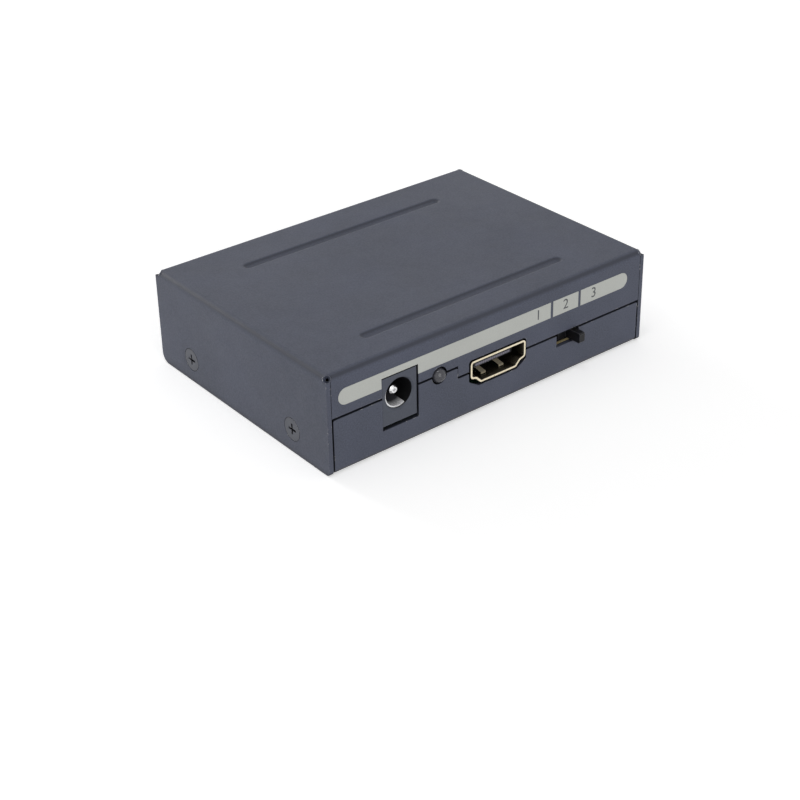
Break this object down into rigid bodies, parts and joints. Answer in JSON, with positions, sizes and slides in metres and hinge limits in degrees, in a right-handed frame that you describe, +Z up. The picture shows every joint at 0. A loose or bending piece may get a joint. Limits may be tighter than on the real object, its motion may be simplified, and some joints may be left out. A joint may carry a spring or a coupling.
{
  "type": "hdmi audio extractor",
  "caption": "Small folded sheet-metal converter box with video sockets, a power socket and a slide switch on one long panel, optical and phono audio outputs on the other.",
  "frame": {"origin": "under the middle of the outer box, sockets and knob included, on the surface that the case stands on", "axes": "+X along the panels, to the right as one faces the input panel; the input panel faces -Y and the output panel faces +Y; +Z up"},
  "size_m": [0.086, 0.0688, 0.0223],
  "materials": {
    "powder_coat": "fine-textured satin powder coat",
    "powder_coat_tray": "fine-textured satin powder coat",
    "black_screw": "black zinc, satin",
    "zinc": "zinc plated",
    "board_green": "solder mask, glossy",
    "grey_plastic": "moulded, matt",
    "nickel": "bright nickel",
    "tin": "tinned",
    "pale_gold": "pale gold plating, satin",
    "black_plastic": "moulded, satin",
    "contact_metal": "plated",
    "clear_lens": "clear epoxy, unlit",
    "switch_metal": "dull plated brass",
    "phenolic": "phenolic board, matt",
    "black_knob": "moulded, satin",
    "emitter_resin": "tinted resin, glossy",
    "satin_nickel": "turned, satin nickel",
    "red_plastic": "moulded, semi-gloss",
    "white_plastic": "moulded, semi-gloss",
    "contact_brass": "plain brass",
    "chip_black": "moulded epoxy, matt",
    "ferrite": "sintered, matt",
    "can_aluminium": "satin"
  },
  "bodies": {
    "case": {"top_cover": "powder_coat", "bottom_tray": "powder_coat_tray", "case_screws": "black_screw", "standoffs": "zinc", "main_board": "board_green", "board_screws": "zinc", "dc_jack_body": "grey_plastic", "dc_jack_pin": "nickel", "dc_jack_contact": "nickel", "dc_jack_terminals": "tin", "hdmi_in_shell": "pale_gold", "hdmi_in_insert": "black_plastic", "hdmi_in_contacts": "contact_metal", "hdmi_out_shell": "pale_gold", "hdmi_out_insert": "black_plastic", "hdmi_out_contacts": "contact_metal", "power_led": "clear_lens", "power_led_leads": "tin", "status_led": "clear_lens", "status_led_leads": "tin", "switch_frame": "switch_metal", "switch_base": "phenolic", "optical_housing": "grey_plastic", "optical_door_pin": "zinc", "optical_emitter": "emitter_resin", "rca_housing": "black_plastic", "rca_ring_right": "satin_nickel", "rca_ring_left": "satin_nickel", "rca_insert_right": "red_plastic", "rca_insert_left": "white_plastic", "rca_contacts": "contact_brass", "video_chip": "chip_black", "audio_chip": "chip_black", "regulator": "chip_black", "crystal": "nickel", "inductor": "ferrite", "capacitors": "can_aluminium"},
    "mode_knob": {"switch_knob": "black_knob"},
    "optical_shutter": {"optical_door": "grey_plastic"}
  },
  "joints": [
    {"name": "mode_slide", "type": "slide", "parent": "case", "child": "mode_knob", "axis": [1, 0, 0], "range_m": [-0.004, 0]},
    {"name": "shutter_hinge", "type": "hinge", "parent": "case", "child": "optical_shutter", "pos_m": [0.00535, 0.0283, 0.01695], "axis": [-1, 0, 0], "range_deg": [0, 85], "stiffness_Nm_per_rad": 0.0005, "springref_deg": -11.46}
  ]
}
